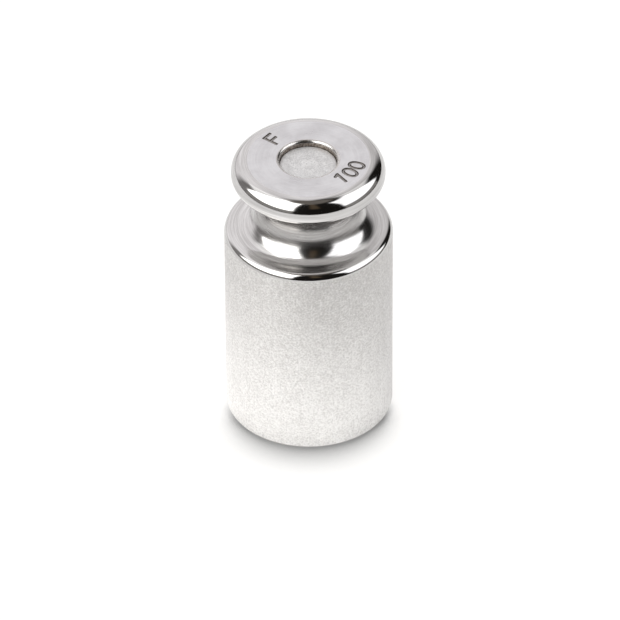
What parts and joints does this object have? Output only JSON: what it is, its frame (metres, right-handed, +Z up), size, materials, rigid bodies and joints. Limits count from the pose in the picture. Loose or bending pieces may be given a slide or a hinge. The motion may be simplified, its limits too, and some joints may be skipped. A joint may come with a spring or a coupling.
{
  "type": "calibration weight",
  "caption": "Cylindrical knob weight of stainless steel with a waisted neck for a lifting fork and a sealed adjusting cavity in the knob.",
  "frame": {"origin": "centre of the base, where the weight stands", "axes": "+Z up along the turned axis, from the base to the knob; -Y is the side that faces the reader of the marks"},
  "size_m": [0.022, 0.022, 0.0396],
  "materials": {
    "stainless_steel": "matt blasted side, fine turned shoulder and knob top, polished neck, rim and edges",
    "seal_metal": "matt, pressed and peened, with small pits",
    "shot_steel": "bright ball shot"
  },
  "bodies": {
    "root": {"body": "stainless_steel", "seal_plug": "seal_metal", "adjusting_shot_01": "shot_steel", "adjusting_shot_02": "shot_steel", "adjusting_shot_03": "shot_steel", "adjusting_shot_04": "shot_steel", "adjusting_shot_05": "shot_steel", "adjusting_shot_06": "shot_steel", "adjusting_shot_07": "shot_steel", "adjusting_shot_08": "shot_steel", "adjusting_shot_09": "shot_steel", "adjusting_shot_10": "shot_steel", "adjusting_shot_11": "shot_steel", "adjusting_shot_12": "shot_steel", "adjusting_shot_13": "shot_steel", "adjusting_shot_14": "shot_steel", "adjusting_shot_15": "shot_steel", "adjusting_shot_16": "shot_steel", "adjusting_shot_17": "shot_steel", "adjusting_shot_18": "shot_steel", "adjusting_shot_19": "shot_steel", "adjusting_shot_20": "shot_steel", "adjusting_shot_21": "shot_steel"}
  },
  "joints": []
}
